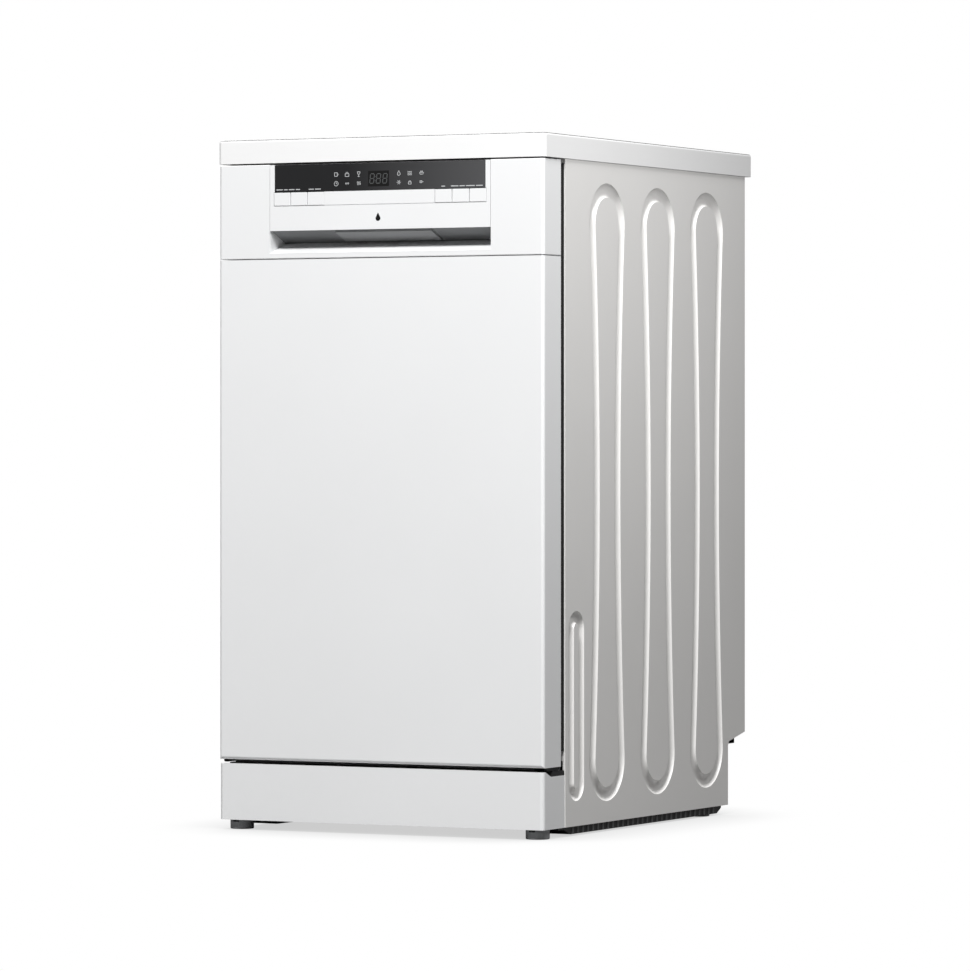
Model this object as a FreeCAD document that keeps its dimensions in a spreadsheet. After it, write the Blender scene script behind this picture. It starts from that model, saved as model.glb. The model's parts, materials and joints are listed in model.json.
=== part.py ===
"""Slimline free-standing front-loading dishwasher, as a parametric assembly.

Frame: +Z up, the front faces -Y, the origin is on the floor under the middle of the box.
Lengths are millimetres. Every driving size is a cell of the sheet Dims.
"""
import FreeCAD, Part
import math
import os
import re
import Sketcher
from FreeCAD import Placement, Rotation, Vector

DIMS = {
    # whole machine
    "total_width": 448, "total_depth": 600, "total_height": 845,
    "top_thick": 29, "top_round": 3, "panel_inset": 1.5, "sheet": 1,
    # door and its hinge line
    "door_thick": 47, "cabinet_front": 58, "door_base": 86, "door_top": 698, "fascia_base": 699,
    "fascia_top": 814, "hinge_back": 12, "hinge_height": 97, "door_edge": 4, "dish_depth": 12,
    # control fascia
    "insert_half": 151, "insert_base": 733, "insert_top": 813.5, "recess_base": 705, "wall": 2.5,
    "window_half": 144.3, "window_base": 780, "button_base": 763.5, "button_tall": 16,
    "button_wide": 23.4, "button_first": 75.7, "button_gap": 0.45, "seam": 0.6, "recess_deep": 38,
    "recess_apex": 719, "lever_left": 62, "lever_right": 69, "lever_thick": 4.5,
    # cabinet
    "side_back": 581, "notch_height": 103, "notch_back": 532, "panel_base": 12, "flange": 12,
    "tub_half": 202, "tub_wall": 1.5, "tub_floor": 132, "tub_roof": 788, "tub_rear": 248,
    "skid_half": 219, "tray_half": 208, "tray_top": 62, "tray_wall": 3, "tray_rear": 515, "plinth_top": 81,
    # pressed beads of the side panels
    "bead_depth": 6, "bead_half": 8.6, "loop_top": 741, "loop_low": 87, "loop_lobe": 41,
    "loop_waist": 29, "loop_first": 173.5, "loop_pitch": 144.85, "slot_place": 88.3,
    "slot_round": 13.9, "slot_half": 7.4, "slot_top": 250.1, "slot_low": 63.6,
    # feet
    "foot_round": 14.5, "foot_tall": 11.5, "foot_side": 203, "foot_front": 23, "foot_rear": 480,
    "stem_round": 4, "skid_front": 46, "nose_floor": 15, "skid_wide": 34,
    # racks, rails and wheels
    "rack_half": 184, "rack_front": 62, "rack_rear": 530, "low_rack": 176, "low_rim": 300,
    "high_rack": 484, "high_rim": 604, "rim_wire": 2.6, "wire": 2, "wheel_round": 18,
    "wheel_centre": 151.5, "wheel_front": 130, "wheel_rear": 460, "axle": 3, "rail_base": 560,
    "basket_half": 72, "basket_front": 76, "basket_rear": 148, "basket_wall": 2, "basket_round": 8,
    # spray arms and filter
    "arm_reach": 178, "arm_wide": 17, "arm_tall": 11, "low_arm": 153, "high_arm": 452, "feed_rise": 21.5,
    "stem_hub": 9, "running": 0.05, "filter_round": 26, "filter_back": 62, "sump_round": 85,
    "sump_back": 20, "cap_round": 27,
}

doc = FreeCAD.newDocument("SlimDishwasher")
sheet = doc.addObject("Spreadsheet::Sheet", "Dims")
for row, (alias, value) in enumerate(DIMS.items(), start=1):
    sheet.set("A%d" % row, alias)
    sheet.set("B%d" % row, str(value))
    sheet.setAlias("B%d" % row, alias)
doc.recompute()

PARTS = {}
TURN = {"X": Rotation(Vector(0, 1, 0), 90), "Y": Rotation(Vector(1, 0, 0), -90), "Z": Rotation()}
PLANES = {"XY": "XY_Plane", "XZ": "XZ_Plane", "YZ": "YZ_Plane"}


def bound(text):
    """An expression in which every named size is a cell of the sheet."""
    return re.sub(r"[a-z_]+", lambda m: "Dims." + m[0] if m[0] in DIMS else m[0], str(text))


def size(text):
    """The present value of an expression, for shapes made with Part's own functions."""
    return float(sheet.evalExpression(bound(text)))


def part(label, thing):
    """Make an object of the document a sub-part of the machine."""
    thing.Label = label
    PARTS[label] = thing
    return thing


def place(thing, x, y, z):
    """Bind a primitive's position to expressions."""
    for axis, text in zip("xyz", (x, y, z)):
        thing.setExpression("Placement.Base." + axis, bound(text))
    return thing


def block(x, y, z):
    """A box between pairs of expressions."""
    box = doc.addObject("Part::Box", "Block")
    for edge, (low, high) in zip(("Length", "Width", "Height"), (x, y, z)):
        box.setExpression(edge, bound("(%s)-(%s)" % (high, low)))
    return place(box, x[0], y[0], z[0])


def rod(axis, centre, radius, span):
    """A cylinder along an axis; centre gives the other two coordinates in X, Y, Z order."""
    low, high = span
    cylinder = doc.addObject("Part::Cylinder", "Rod")
    cylinder.Placement = Placement(Vector(), TURN[axis])
    cylinder.setExpression("Radius", bound(radius))
    cylinder.setExpression("Height", bound("(%s)-(%s)" % (high, low)))
    corner = list(centre)
    corner.insert("XYZ".index(axis), low)
    return place(cylinder, *corner)


def fuse(*pieces):
    """One solid from several pieces."""
    union = doc.addObject("Part::MultiFuse", "Union")
    union.Shapes = list(pieces)
    union.Refine = True
    return union


def cut(base, *tools):
    """The base less its tools."""
    difference = doc.addObject("Part::Cut", "Difference")
    difference.Base = base
    difference.Tool = tools[0] if len(tools) == 1 else fuse(*tools)
    return difference


def group(*pieces):
    """Several separate solids of one node."""
    compound = doc.addObject("Part::Compound", "Set")
    compound.Links = list(pieces)
    return compound


def mirror(source):
    """The same piece on the other side of the middle plane."""
    copy = doc.addObject("Part::Mirroring", "Mirrored")
    copy.Source = source
    copy.Normal = Vector(1, 0, 0)
    return copy


def rounded(base, radius, picks):
    """Round those edges of the base whose middle and direction a test accepts."""
    doc.recompute()
    fillet = doc.addObject("Part::Fillet", "Rounded")
    fillet.Base = base
    chosen = []
    for number, edge in enumerate(base.Shape.Edges, start=1):
        middle = edge.valueAt((edge.FirstParameter + edge.LastParameter) / 2)
        along = edge.tangentAt((edge.FirstParameter + edge.LastParameter) / 2)
        if picks(middle, along):
            chosen.append((number, size(radius), size(radius)))
    fillet.Edges = chosen
    return fillet


def prism(plane, outline, span):
    """A sketched outline, every corner bound to expressions, padded along the plane's normal."""
    low, high = span
    body = doc.addObject("PartDesign::Body", "Prism")
    origin = {feature.Role: feature for feature in body.Origin.OriginFeatures}
    sketch = body.newObject("Sketcher::SketchObject", "Outline")
    sketch.AttachmentSupport = (origin[PLANES[plane]], [""])
    sketch.MapMode = "FlatFace"
    start = "-(%s)" % high if plane == "XZ" else low
    sketch.setExpression("AttachmentOffset.Base.z", bound(start))
    corners = [(size(across), size(up)) for across, up in outline]
    for first, second in zip(corners, corners[1:] + corners[:1]):
        line = Part.LineSegment(Vector(first[0], first[1], 0), Vector(second[0], second[1], 0))
        sketch.addGeometry(line, False)
    for number, texts in enumerate(outline):
        following = (number + 1) % len(outline)
        sketch.addConstraint(Sketcher.Constraint("Coincident", number, 2, following, 1))
        for kind, text, value in zip(("DistanceX", "DistanceY"), texts, corners[number]):
            added = sketch.addConstraint(Sketcher.Constraint(kind, -1, 1, number, 1, value))
            sketch.setExpression("Constraints[%d]" % added, bound(text))
    pad = body.newObject("PartDesign::Pad", "Pad")
    pad.Profile = sketch
    pad.setExpression("Length", bound("(%s)-(%s)" % (high, low)))
    return body


def shaped(shape):
    """A sub-part whose shape comes from Part's own functions."""
    feature = doc.addObject("Part::Feature", "Shaped")
    feature.Shape = shape
    feature.Placement = Placement()
    return feature


def upright(middle, along):
    return abs(along.z) > 0.99


def crosswise(middle, along):
    return abs(along.x) > 0.99


FRONT = "-total_depth/2"
SIDE = "(total_width/2-panel_inset)"
HINGE = "(%s+hinge_back)" % FRONT
DOOR_BACK = "(%s+door_thick)" % FRONT
CABINET = "(%s+cabinet_front)" % FRONT
REAR = "(%s+side_back)" % FRONT
TOP = "(total_height-top_thick)"
INNER = "(%s-sheet)" % SIDE


def from_front(text):
    """A depth counted back from the front of the machine."""
    return "(%s+%s)" % (FRONT, text)


def both(reach):
    """A width centred on the middle plane."""
    return ("-(%s)" % reach, reach)


# ---------------------------------------------------------------- worktop

board = block(both("total_width/2"), (FRONT, "total_depth/2"), (TOP, "total_height"))
board = rounded(board, "top_round+2", upright)
board = rounded(board, "top_round", lambda middle, along: middle.z > size("total_height-0.1"))
part("worktop_board", board)


# ---------------------------------------------------------------- side panels with pressed beads

def bead(path, reach, depth, outward):
    """Sweep a round-bottomed channel section along a closed path on the panel's face."""
    edge = path.Edges[0]
    start = edge.valueAt(edge.FirstParameter)
    along = edge.tangentAt(edge.FirstParameter)
    across = along.cross(Vector(1, 0, 0))
    inward = Vector(-1, 0, 0)
    radius = (reach ** 2 + depth ** 2) / (2 * depth)
    grown = radius + outward
    lip = -0.6 if outward == 0 else size("sheet/2")
    centre = radius - depth
    half = math.sqrt(grown ** 2 - (centre + max(lip, 0)) ** 2)
    level = max(lip, 0)
    ends = [start + across * side * half + inward * level for side in (-1, 1)]
    bottom = start + inward * (depth + outward)
    edges = [Part.Arc(ends[0], bottom, ends[1]).toShape()]
    lifted = [end + inward * min(lip, 0) for end in ends]
    corners = [ends[1], lifted[1], lifted[0], ends[0]] if lip < 0 else [ends[1], ends[0]]
    for first, second in zip(corners, corners[1:]):
        edges.append(Part.makeLine(first, second))
    sweep = Part.BRepOffsetAPI.MakePipeShell(path)
    sweep.setBiNormalMode(Vector(1, 0, 0))
    sweep.add(Part.Wire(edges))
    sweep.build()
    sweep.makeSolid()
    return sweep.shape()


def closed_path(face, rows):
    """A closed wire of arcs or lines on the panel's face, each row a start, a middle and an end."""
    edges = []
    for row in rows:
        points = [Vector(face, *point) for point in row]
        straight = len(points) == 2
        edges.append(Part.makeLine(*points) if straight else Part.Arc(*points).toShape())
    return Part.Wire(edges)


def hourglass(place_back):
    """Two round lobes joined by long arcs that draw in to a waist."""
    face = size(SIDE)
    middle = size(from_front(place_back))
    low, top = size("loop_low"), size("loop_top")
    lobe, waist = size("loop_lobe"), size("loop_waist")
    centre, half = (low + top) / 2, (top - low) / 2
    lean = 2 * math.atan((lobe - waist) / half)
    out, rise = lobe * math.cos(lean), half - lobe * math.sin(lean)
    return closed_path(face, [
        ((middle - out, centre - rise), (middle - waist, centre), (middle - out, centre + rise)),
        ((middle - out, centre + rise), (middle, top + lobe), (middle + out, centre + rise)),
        ((middle + out, centre + rise), (middle + waist, centre), (middle + out, centre - rise)),
        ((middle + out, centre - rise), (middle, low - lobe), (middle - out, centre - rise)),
    ])


def obround(place_back):
    """A long upright slot outline with round ends."""
    face = size(SIDE)
    middle = size(from_front(place_back))
    low, top, lobe = size("slot_low"), size("slot_top"), size("slot_round")
    return closed_path(face, [
        ((middle - lobe, low), (middle - lobe, top)),
        ((middle - lobe, top), (middle, top + lobe), (middle + lobe, top)),
        ((middle + lobe, top), (middle + lobe, low)),
        ((middle + lobe, low), (middle, low - lobe), (middle - lobe, low)),
    ])


side_outline = [
    (CABINET, "panel_base"), (from_front("529"), "panel_base"), (from_front("529"), "88"),
    (from_front("notch_back"), "93"), (REAR, "notch_height"), (REAR, TOP), (CABINET, TOP),
]
skin = prism("YZ", side_outline, (INNER, SIDE))
front_return = cut(block(("%s-flange" % INNER, INNER), (CABINET, "%s+sheet" % CABINET),
                         ("panel_base", TOP)),
                   block(("200", "219"), ("%s-1" % CABINET, "%s+2" % CABINET), ("74", "92")))
rear_return = block(("%s-flange" % INNER, INNER), ("%s-sheet" % REAR, REAR),
                    ("notch_height", TOP))
doc.recompute()
paths = [(hourglass("loop_first+%d*loop_pitch" % turn), size("bead_half")) for turn in range(3)]
paths.append((obround("slot_place"), size("slot_half")))
deep = size("bead_depth")
ridges = [shaped(bead(path, reach, deep, size("sheet"))) for path, reach in paths]
channels = [shaped(bead(path, reach, deep, 0)) for path, reach in paths]
side_right = cut(fuse(skin, front_return, rear_return, *ridges), *channels)
part("side_panel_right", side_right)
part("side_panel_left", mirror(side_right))


# ---------------------------------------------------------------- back of the cabinet

SCREW_SPOTS = [(side, height) for side in ("%s-6" % SIDE, "6-%s" % SIDE)
               for height in ("130", "460", "790")]
back = block(both("%s-0.3" % INNER), (REAR, "%s+sheet" % REAR), ("notch_height", "%s-1" % TOP))
panel_field = block(both("150"), ("%s-6" % REAR, "%s+sheet" % REAR), ("180", "740"))
panel_field = rounded(panel_field, "25", lambda middle, along: abs(along.y) > 0.99)
panel_dish = block(both("149"), ("%s-5" % REAR, "%s+2*sheet" % REAR), ("181", "739"))
panel_dish = rounded(panel_dish, "24", lambda middle, along: abs(along.y) > 0.99)
back_holes = [rod("Y", spot, "2.2", ("%s-2" % REAR, "%s+3" % REAR)) for spot in SCREW_SPOTS]
part("rear_panel", cut(fuse(back, panel_field), panel_dish, *back_holes))
screws = []
for spot in SCREW_SPOTS:
    head = rod("Y", spot, "4.2", ("%s+sheet" % REAR, "%s+sheet+2.4" % REAR))
    slot = block(("(%s)-3" % spot[0], "(%s)+3" % spot[0]), ("%s+sheet+1.4" % REAR, "%s+6" % REAR),
                 ("(%s)-0.5" % spot[1], "(%s)+0.5" % spot[1]))
    shank = rod("Y", spot, "1.9", (REAR, "%s+sheet" % REAR))
    screws.append(fuse(cut(head, slot), shank))
part("cabinet_screws", group(*screws))

COVER = from_front("notch_back-3")
VALVE = ("-150", "46")
DRAIN = ("-96", "58")
CORD_HOLE = ("150", "46")
cover = block(both("%s-0.3" % INNER), ("%s-sheet" % COVER, COVER), ("panel_base", "88"))
cover_shelf = block(both("%s-14" % INNER), ("%s-sheet" % COVER, REAR), ("88", "89"))
cover_lip = block(both("%s-14" % INNER), ("%s-sheet" % REAR, REAR), ("88", "notch_height-0.3"))
gland = rod("Y", CORD_HOLE, "9", ("%s-2" % COVER, "%s+4" % COVER))
cover = fuse(cover, cover_shelf, cover_lip, gland)
part("rear_service_cover", cut(cover, rod("Y", VALVE, "17", ("%s-4" % COVER, "%s+2" % COVER)),
                               rod("Y", DRAIN, "12", ("%s-4" % COVER, "%s+2" % COVER)),
                               rod("Y", CORD_HOLE, "4", ("%s-6" % COVER, "%s+8" % COVER))))


# ---------------------------------------------------------------- base, plinth and feet

FEET = {"front_left": ("-foot_side", from_front("foot_front")),
        "front_right": ("foot_side", from_front("foot_front")),
        "rear_left": ("-foot_side", from_front("foot_rear")),
        "rear_right": ("foot_side", from_front("foot_rear"))}
tray = fuse(block(both("tray_half"), (from_front("8"), from_front("tray_rear")), ("9", "tray_top")),
            block(both("skid_half"), (from_front("skid_front"), from_front("62")), ("9", "11.8")))
SKID_LINE = [(from_front("60"), "11.8"), (from_front("60"), "9"), (from_front("80"), "2.5"),
             (from_front("502"), "2.5"), (from_front("tray_rear"), "9"), (from_front("tray_rear"), "11.8")]
skid = prism("YZ", SKID_LINE, ("skid_half-skid_wide", "skid_half"))
tray = fuse(tray, skid, mirror(skid))
well = block(both("tray_half-tray_wall"), (from_front("8+tray_wall"),
                                           from_front("tray_rear-tray_wall")),
             ("9+tray_wall", "tray_top+1"))
nose_floor = block(both("tray_half"), (from_front("8"), from_front("skid_front+2")), ("9", "nose_floor"))
nose_step = block(both("skid_half+1"), (from_front("7"), from_front("skid_front")),
                  ("8", "9+tray_wall"))
foot_wells = [rod("Z", spot, "foot_round+0.7", ("1", "foot_tall+1.2")) for spot in FEET.values()]
foot_bosses = [rod("Z", spot, "foot_round+2", ("9", "nose_floor+1")) for spot in FEET.values()]
foot_posts = [rod("Z", spot, "9", ("9", "44")) for spot in FEET.values()]
foot_bores = [rod("Z", spot, "stem_round+running", ("0", "46")) for spot in FEET.values()]
tray = fuse(cut(tray, well), nose_floor, *foot_bosses, *foot_posts)
part("base_tray", cut(tray, nose_step, *foot_wells, *foot_bores))
for name, spot in FEET.items():
    pad = rounded(rod("Z", spot, "foot_round", ("0", "foot_tall")), "1.2",
                  lambda middle, along: middle.z < 0.1 or middle.z > size("foot_tall") - 0.1)
    part("foot_" + name, fuse(pad, rod("Z", spot, "stem_round", ("foot_tall", "42"))))

PLINTH_LINE = [(FRONT, "panel_base"), (CABINET, "panel_base"), (CABINET, "75"),
               (from_front("20"), "75"), (from_front("6"), "plinth_top"), (FRONT, "plinth_top")]
plinth = prism("YZ", PLINTH_LINE, both("%s-0.5" % SIDE))
plinth = rounded(plinth, "5", lambda middle, along: upright(middle, along)
                 and middle.y < size(from_front("1")))
inside = prism("YZ", [(from_front("1.5"), "panel_base-1"), ("%s+1" % CABINET, "panel_base-1"),
                      ("%s+1" % CABINET, "73.5"), (from_front("19"), "73.5"),
                      (from_front("5"), "plinth_top-1.5"), (from_front("1.5"), "plinth_top-1.5")],
               both("%s-2" % SIDE))
inside = rounded(inside, "3.5", lambda middle, along: upright(middle, along)
                 and middle.y < size(from_front("2")))
part("plinth", cut(plinth, inside, block(both("150"), (from_front("30"), "%s+1" % CABINET),
                                         ("70", "80"))))


# ---------------------------------------------------------------- tub and what is fixed to it

TUB_SIDE = "(tub_half+tub_wall)"
shell = block(both(TUB_SIDE), (CABINET, "tub_rear+tub_wall"),
              ("tub_floor-tub_wall", "tub_roof+tub_wall"))
flange = block(both("%s-flange-0.5" % INNER), (CABINET, "%s+tub_wall" % CABINET),
               ("118", "813"))
cavity = block(both("tub_half"), ("%s-1" % CABINET, "tub_rear"), ("tub_floor", "tub_roof"))
cavity = rounded(cavity, "8", lambda middle, along: abs(along.y) > 0.99)
shell = rounded(shell, "9", lambda middle, along: abs(along.y) > 0.99)
SUMP = ("0", "-sump_back")
SALT = ("-130", "-150")
tub = cut(fuse(shell, flange), cavity, rod("Z", SUMP, "sump_round-6", ("125", "140")),
          rod("Z", SALT, "cap_round+5", ("125", "140")))
part("tub", tub)

SEAL = "%s-4" % CABINET
seal = block(both("%s-1.5" % SIDE), (SEAL, "%s-0.3" % CABINET), ("104", "810"))
seal = cut(seal, block(both("tub_half+2"), ("%s-1" % SEAL, CABINET), ("100", "tub_roof+2")),
           block(both("24"), ("%s-1" % SEAL, CABINET), ("793.5", "812")))
part("tub_seal", seal)

felt = block(both("%s-9" % TUB_SIDE), (from_front("80"), "tub_rear-10"),
             ("tub_roof+tub_wall+0.5", "tub_roof+tub_wall+5"))
felt_back = block(both("170"), ("tub_rear+tub_wall+0.5", "tub_rear+tub_wall+5"), ("170", "770"))
felt_side = block(("%s+0.4" % TUB_SIDE, "%s+3.4" % TUB_SIDE), (from_front("80"), "tub_rear-10"),
                  ("170", "770"))
part("tub_insulation", group(felt, felt_back, felt_side))

BRACKET = ("212", "215")
bar = block(both("%s-flange-1" % INNER), ("%s+1" % CABINET, "%s+2.5" % CABINET), ("64", "117"))
bracket = prism("YZ", [("%s-4" % HINGE, "hinge_height-5"), ("%s+4" % HINGE, "hinge_height-5.5"),
                       ("%s+2.5" % CABINET, "79"), ("%s+2.5" % CABINET, "85"),
                       (from_front("38"), "86"), ("%s+6" % HINGE, "hinge_height+3"),
                       ("%s+2" % HINGE, "hinge_height+6"), ("%s-4" % HINGE, "hinge_height+5")],
                BRACKET)
pin = rod("X", (HINGE, "hinge_height"), "4", ("205", "213"))
tie = block(("200", "215"), ("%s+1" % CABINET, "%s+2.5" % CABINET), ("66", "90"))
arm = fuse(bracket, pin, tie)
part("hinge_bracket_bar", fuse(bar, arm, mirror(arm)))

strike = cut(block(both("20"), ("%s-7" % CABINET, CABINET), ("804.5", "813")),
             block(both("12"), ("%s-8" % CABINET, "%s-1.5" % CABINET), ("803", "811.5")))
part("latch_strike", strike)

RAIL_SPAN = (from_front("70"), from_front("540"))
rail = cut(block(("tub_half-6", "tub_half"), RAIL_SPAN, ("rail_base", "rail_base+20")),
           block(("tub_half-7", "tub_half-1.2"), (from_front("60"), from_front("550")),
                 ("rail_base+1.2", "rail_base+18.8")))
part("rack_rails", group(rail, mirror(rail)))
carriage = cut(block(("tub_half-7.4", "tub_half-1.6"), RAIL_SPAN, ("rail_base+1.6", "rail_base+18.4")),
               block(("tub_half-8", "tub_half-2.8"), (from_front("60"), from_front("550")),
                     ("rail_base+2.8", "rail_base+17.2")))
part("rail_carriages", group(carriage, mirror(carriage)))

feed = cut(block(both("13"), ("tub_rear-9", "tub_rear"), ("tub_floor", "482")),
           block(both("11.5"), ("tub_rear-7.5", "tub_rear-1.5"), ("tub_floor-1", "480.5")))
spout = cut(rod("Y", ("0", "high_arm+feed_rise"), "9", ("tub_rear-20", "tub_rear-8")),
            rod("Y", ("0", "high_arm+feed_rise"), "7.5", ("tub_rear-22", "tub_rear-7")))
part("spray_feed_pipe", cut(fuse(feed, spout), rod("Y", ("0", "high_arm+feed_rise"), "7.5",
                                                   ("tub_rear-22", "tub_rear-6"))))

sump = cut(rod("Z", SUMP, "sump_round", ("66", "tub_floor-tub_wall")),
           rod("Z", SUMP, "sump_round-6", ("70", "tub_floor")))
hub = fuse(rod("Z", ("0", "0"), "14", ("68", "126")),
           rod("Z", ("0", "0"), "stem_hub", ("126", "low_arm+arm_tall+4")),
           rod("Z", ("0", "0"), "12", ("126", "low_arm-1")))
part("sump", fuse(sump, hub))
FILTER = ("0", "-filter_back")
plate = cut(rod("Z", SUMP, "sump_round-6.4", ("127", "129")),
            rod("Z", FILTER, "filter_round+0.4", ("126", "130")),
            rod("Z", ("0", "0"), "12.3", ("126", "130")))
part("filter_plate", plate)
cup = cut(rod("Z", FILTER, "filter_round", ("78", "131")),
          rod("Z", FILTER, "filter_round-2", ("80", "132")))
bar_grip = block(("-3", "3"), ("-filter_back-filter_round+1", "-filter_back+filter_round-1"),
                 ("129", "144"))
bar_grip = rounded(bar_grip, "1.2", lambda middle, along: middle.z > 143)
part("filter_cylinder", fuse(cup, bar_grip))

part("circulation_pump", fuse(rod("X", ("-sump_back", "96"), "26", ("104", "176")),
                              rod("X", ("-sump_back", "96"), "12", ("86.5", "104")),
                              rod("X", ("-sump_back", "96"), "18", ("176", "188"))))
part("drain_pump", fuse(rod("X", ("30", "86"), "20", ("-150", "-98")),
                        rod("X", ("30", "86"), "9", ("-98", "-76")),
                        rod("X", ("30", "86"), "13", ("-164", "-150"))))
softener = fuse(block(("-196", "-78"), ("-190", "-110"), ("64", "118")),
                rod("Z", SALT, "cap_round+4.6", ("118", "tub_floor+1")))
part("water_softener", cut(softener, rod("Z", SALT, "cap_round-3", ("80", "140"))))
salt_cap = fuse(rod("Z", SALT, "cap_round+3", ("tub_floor+1", "tub_floor+5")),
                rod("Z", SALT, "cap_round-3.3", ("tub_floor-16", "tub_floor+1")),
                block(("-130-2.5", "-130+2.5"), ("-150-22", "-150+22"),
                      ("tub_floor+5", "tub_floor+12")))
part("salt_cap", salt_cap)

valve = fuse(block(("-168", "-132"), ("%s-12.5" % COVER, "%s-1.3" % COVER), ("28", "64")),
             rod("Y", VALVE, "13.2", ("%s-2" % COVER, "%s+14" % COVER)))
part("inlet_valve", cut(valve, rod("Y", VALVE, "8", ("%s-10" % COVER, "%s+15" % COVER))))
spigot = fuse(rod("Y", DRAIN, "11.5", ("%s-13.5" % COVER, "%s+2" % COVER)),
              rod("Y", DRAIN, "9.5", ("%s+2" % COVER, "%s+30" % COVER)))
part("drain_spigot", cut(spigot, rod("Y", DRAIN, "7", ("%s-15" % COVER, "%s+31" % COVER))))
air_break = block(("-%s-11" % TUB_SIDE, "-%s-1" % TUB_SIDE), ("-100", "70"), ("300", "560"))
air_break = rounded(air_break, "14", lambda middle, along: abs(along.x) > 0.99)
part("air_break_chamber", air_break)

SPRING = ("186", from_front("34"))
coil = cut(rod("Z", SPRING, "4.5", ("18", "66")), rod("Z", SPRING, "3.2", ("17", "67")))
part("door_springs", group(coil, mirror(coil)))


# ---------------------------------------------------------------- door shell

SKIN = "(%s-sheet)" % DOOR_BACK
panel = block(both(SIDE), (FRONT, SKIN), ("door_base", "door_top"))
panel = rounded(panel, "door_edge", lambda middle, along: middle.y < size(FRONT) + 0.1
                and (upright(middle, along) or middle.z < size("door_base") + 0.1))
hollow = block(both(INNER), ("%s+sheet" % FRONT, "%s+1" % SKIN), ("door_base+sheet", "door_top-sheet"))
hollow = rounded(hollow, "door_edge-1", lambda middle, along: middle.y < size(FRONT) + 1.1
                 and (upright(middle, along) or middle.z < size("door_base") + 1.1))
slot = block(("205", "218"), ("%s-8.4" % HINGE, "%s+1" % SKIN), ("door_base-1", "door_base+5"))
part("door_outer_panel", cut(panel, hollow, slot, mirror(slot)))

liner = block(both(SIDE), (SKIN, DOOR_BACK), ("92", "fascia_top-2"))
dish = block(both("176"), ("%s-dish_depth" % SKIN, DOOR_BACK), ("140", "690"))
dish = rounded(dish, "22", lambda middle, along: abs(along.y) > 0.99)
well = block(both("175"), ("%s-dish_depth+sheet" % SKIN, "%s+1" % DOOR_BACK), ("141", "689"))
well = rounded(well, "21", lambda middle, along: abs(along.y) > 0.99)
DISH = "(%s-dish_depth+sheet)" % SKIN
port = block(both("66"), ("%s-4" % DISH, "%s+1" % DISH), ("384", "466"))
latch_port = block(both("9"), ("%s-1" % SKIN, "%s+1" % DOOR_BACK), ("792", "808"))
part("door_inner_panel", cut(fuse(liner, dish), well, port, latch_port))

fascia = block(both(SIDE), (FRONT, SKIN), ("fascia_base", "fascia_top"))
fascia = rounded(fascia, "door_edge", lambda middle, along: upright(middle, along)
                 and middle.y < size(FRONT) + 0.1)
fascia = rounded(fascia, "1", lambda middle, along: crosswise(middle, along)
                 and middle.y < size(FRONT) + 0.1)
inside = block(both("%s-wall" % SIDE), ("%s+wall" % FRONT, "%s+1" % SKIN),
               ("fascia_base+wall", "fascia_top-wall"))
window = block(both("insert_half+seam"), ("%s-1" % FRONT, "%s+wall+0.6" % FRONT),
               ("recess_base", "fascia_top+1"))
part("control_fascia", cut(fascia, inside, window))

BANKS = [("-button_first-3*button_wide", "-button_first"), ("button_first", "button_first+3*button_wide")]
insert = block(both("insert_half"), (FRONT, "%s+3" % FRONT), ("insert_base", "insert_top"))
openings = [block(bank, ("%s-1" % FRONT, "%s+4" % FRONT), ("button_base-seam", "window_base"))
            for bank in BANKS]
openings.append(block(both("button_first+0.1"), ("%s-1" % FRONT, "%s+2*seam" % FRONT),
                      ("button_base-seam", "button_base")))
openings.append(block(both("window_half+0.3"), ("%s-1" % FRONT, "%s+4" % FRONT),
                      ("window_base-0.2", "fascia_top+1")))
part("fascia_insert", cut(insert, *openings))
part("display_window", block(both("window_half"), (FRONT, "%s+2" % FRONT), ("window_base", "insert_top-0.3")))
part("display_board", block(both("140"), ("%s+12" % FRONT, "%s+13.6" % FRONT), ("762", "809")))
for bank, low in (("left", "-button_first-3*button_wide"), ("right", "button_first")):
    for turn in range(3):
        start = "%s+%d*button_wide" % (low, turn)
        cap = block(("%s+button_gap" % start, "%s+button_wide-button_gap" % start),
                    (FRONT, "%s+6" % FRONT), ("button_base", "button_base+button_tall"))
        cap = rounded(cap, "0.6", lambda middle, along: middle.y < size(FRONT) + 0.1)
        stem = rod("Y", ("%s+button_wide/2" % start, "button_base+button_tall/2"), "2",
                   ("%s+6" % FRONT, "%s+9.5" % FRONT))
        part("button_%s_%d" % (bank, turn + 1), fuse(cap, stem))

floor_line = [(FRONT, "recess_base+0.1"), (from_front("recess_deep"), "recess_apex-0.4"),
              (from_front("recess_deep"), "recess_apex-2.8"), (from_front("wall+0.1"), "recess_base-1.4"),
              (from_front("wall+0.1"), "recess_base+0.1")]
scoop = prism("YZ", floor_line, both("insert_half+0.2"))
cheek = block(("insert_half+0.2", "insert_half+2.2"), (from_front("wall+0.1"), from_front("recess_deep")),
              ("recess_base-1.4", "insert_base+2.2"))
part("handle_scoop", fuse(scoop, cheek, mirror(cheek)))
ceiling_line = [(from_front("3.2"), "insert_base-0.2"), (from_front("recess_deep"), "recess_apex+0.3"),
                (from_front("recess_deep"), "recess_apex+2.8"), (from_front("3.2"), "insert_base+2.3")]
ceiling = prism("YZ", ceiling_line, both("insert_half-0.2"))
lever_room = block(("-lever_left-0.6", "lever_right+0.6"), (FRONT, from_front("recess_deep-1.5")),
                   ("recess_apex", "insert_base+6"))
part("handle_ceiling", cut(ceiling, lever_room))
LEVER_AXLE = (from_front("33"), "725.5")
lever = prism("YZ", [(from_front("3.6"), "insert_base-3"), (from_front("30"), "recess_apex+0.9"),
                     (from_front("34.5"), "724"), (from_front("34.5"), "727"),
                     (from_front("31"), "727"), (from_front("29"), "725.4"),
                     (from_front("3.6"), "insert_base-3+lever_thick")], ("-lever_left", "lever_right"))
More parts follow.
